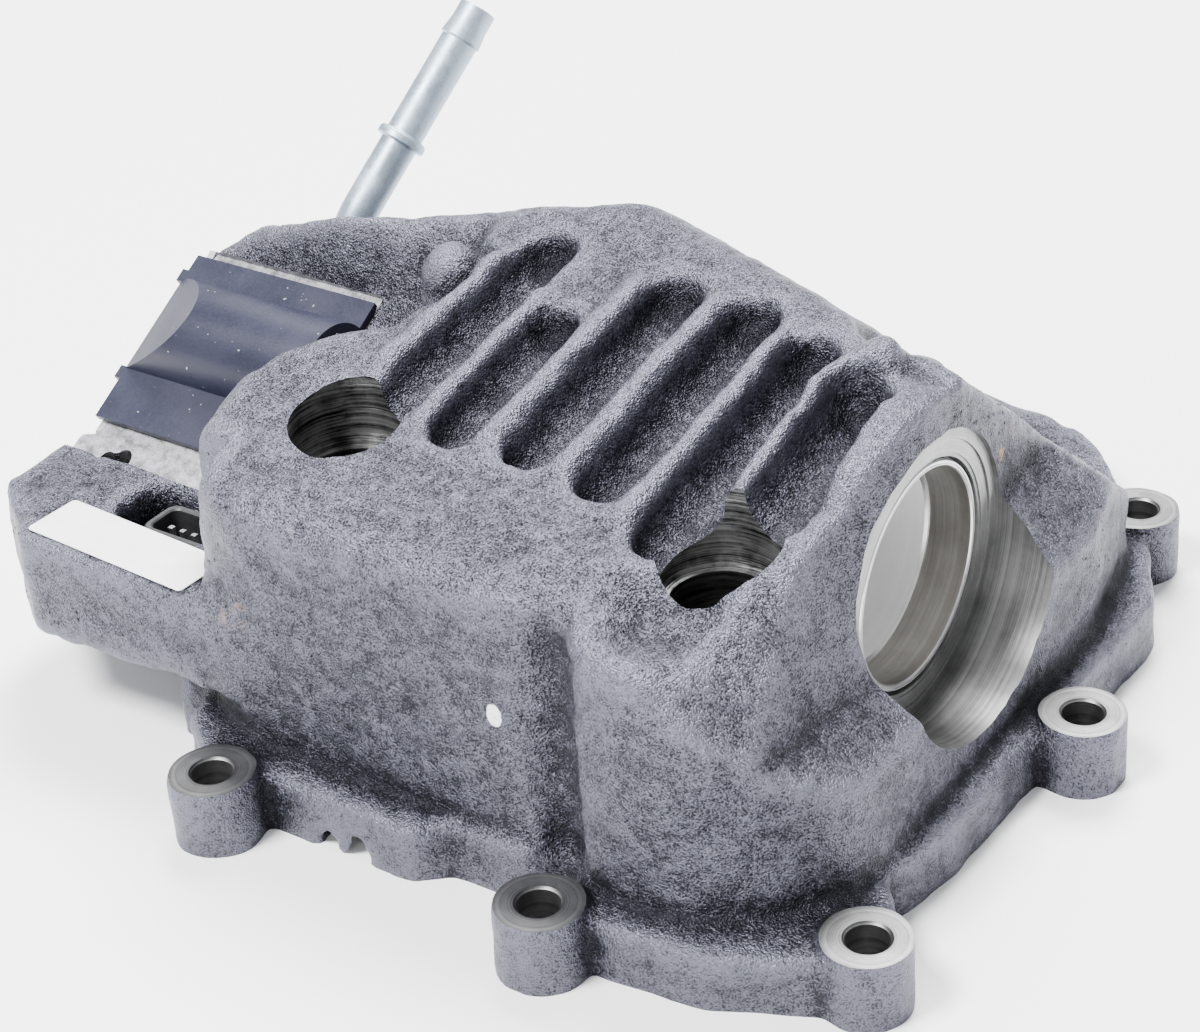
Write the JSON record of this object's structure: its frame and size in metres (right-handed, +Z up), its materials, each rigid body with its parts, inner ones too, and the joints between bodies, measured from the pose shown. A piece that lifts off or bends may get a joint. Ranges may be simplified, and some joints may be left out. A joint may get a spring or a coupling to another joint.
{
  "type": "exhaust gas recirculation valve",
  "caption": "Cast iron exhaust gas recirculation valve with a ribbed roof, a round gas port, a bolted flange, an electric drive under a moulded cover and a coolant tube.",
  "frame": {"origin": "in the flange's mounting face, straight below the valve axis at the middle of the gas window", "axes": "+Z up from the mounting face, +X along the valve axis and out of the gas port, +Y towards the far bolt holes"},
  "size_m": [0.2451, 0.2444, 0.1213],
  "materials": {
    "cast_housing": "sand cast, rough",
    "sleeve_steel": "turned",
    "seat_steel": "turned",
    "poppet_steel": "turned, heat tinted",
    "stem_steel": "ground",
    "bush_bronze": "turned",
    "seal_rubber": "moulded",
    "plate_steel": "stamped",
    "magnet_ferrite": "sintered",
    "spring_steel": "drawn wire",
    "gear_steel": "hobbed",
    "gear_plastic": "moulded",
    "plate_aluminium": "milled",
    "screw_zinc": "zinc plated",
    "can_zinc": "zinc plated",
    "brush_carbon": "pressed carbon",
    "rotor_steel": "stacked laminations",
    "copper": "turned copper",
    "gear_brass": "hobbed",
    "cover_plastic": "moulded, semi gloss",
    "board_green": "solder masked",
    "tube_zinc": "zinc plated",
    "plug_plastic": "moulded",
    "pin_tin": "tinned",
    "label_white": "printed film, blank"
  },
  "bodies": {
    "housing": {"valve_housing": "cast_housing", "ribbed_roof": "cast_housing", "mounting_flange": "cast_housing", "flange_lugs": "cast_housing", "left_pocket_foot": "cast_housing", "left_pocket_wall": "cast_housing", "right_pocket_foot": "cast_housing", "right_pocket_wall": "cast_housing", "port_boss": "cast_housing", "drive_casing": "cast_housing", "drive_arm": "cast_housing", "port_sleeve": "sleeve_steel", "seat_port_side": "seat_steel", "seat_far_side": "seat_steel", "stem_bush": "bush_bronze", "stem_seal": "seal_rubber", "drive_bush": "bush_bronze", "gear_plate": "plate_aluminium", "idler_axle": "stem_steel", "end_plate": "plate_aluminium", "end_plate_screws": "screw_zinc", "motor_can": "can_zinc", "motor_magnets": "magnet_ferrite", "motor_end_cap": "plug_plastic", "motor_brushes": "brush_carbon", "motor_bush": "bush_bronze", "actuator_cover": "cover_plastic", "cover_gasket": "seal_rubber", "sensor_board": "board_green", "coolant_tube": "tube_zinc", "connector_shell": "plug_plastic", "connector_pins": "pin_tin", "blank_label": "label_white", "return_spring": "spring_steel"},
    "rotor": {"motor_shaft": "stem_steel", "rotor_core": "rotor_steel", "commutator": "copper", "motor_pinion": "gear_brass"},
    "idler": {"idler_gear": "gear_plastic"},
    "output": {"output_gear": "gear_steel", "drive_nut": "bush_bronze", "nut_circlip": "plate_steel"},
    "stem": {"valve_stem": "stem_steel", "poppet_port_side": "poppet_steel", "poppet_far_side": "poppet_steel", "spring_plate": "plate_steel", "stem_circlip": "plate_steel", "position_magnet": "magnet_ferrite"}
  },
  "joints": [
    {"name": "valve_stroke", "type": "slide", "parent": "housing", "child": "stem", "axis": [1, 0, 0], "range_m": [0, 0.007], "deforming": ["return_spring"]},
    {"name": "output_turn", "type": "hinge", "parent": "housing", "child": "output", "pos_m": [-0.125, 0, 0.052], "axis": [1, 0, 0], "range_deg": [0, 315.2]},
    {"name": "idler_turn", "type": "hinge", "parent": "housing", "child": "idler", "pos_m": [-0.133, 0.0084, 0.04031], "axis": [1, 0, 0], "range_deg": [-694, 0]},
    {"name": "motor_turn", "type": "hinge", "parent": "housing", "child": "rotor", "pos_m": [-0.12, 0.02201, 0.04502], "axis": [1, 0, 0], "range_deg": [0, 1803]}
  ],
  "couplings": [
    {"joint": "output_turn", "follows": "valve_stroke", "rad_per_m": 785.4},
    {"joint": "idler_turn", "follows": "valve_stroke", "rad_per_m": -1727.9},
    {"joint": "motor_turn", "follows": "valve_stroke", "rad_per_m": 4492.5}
  ]
}
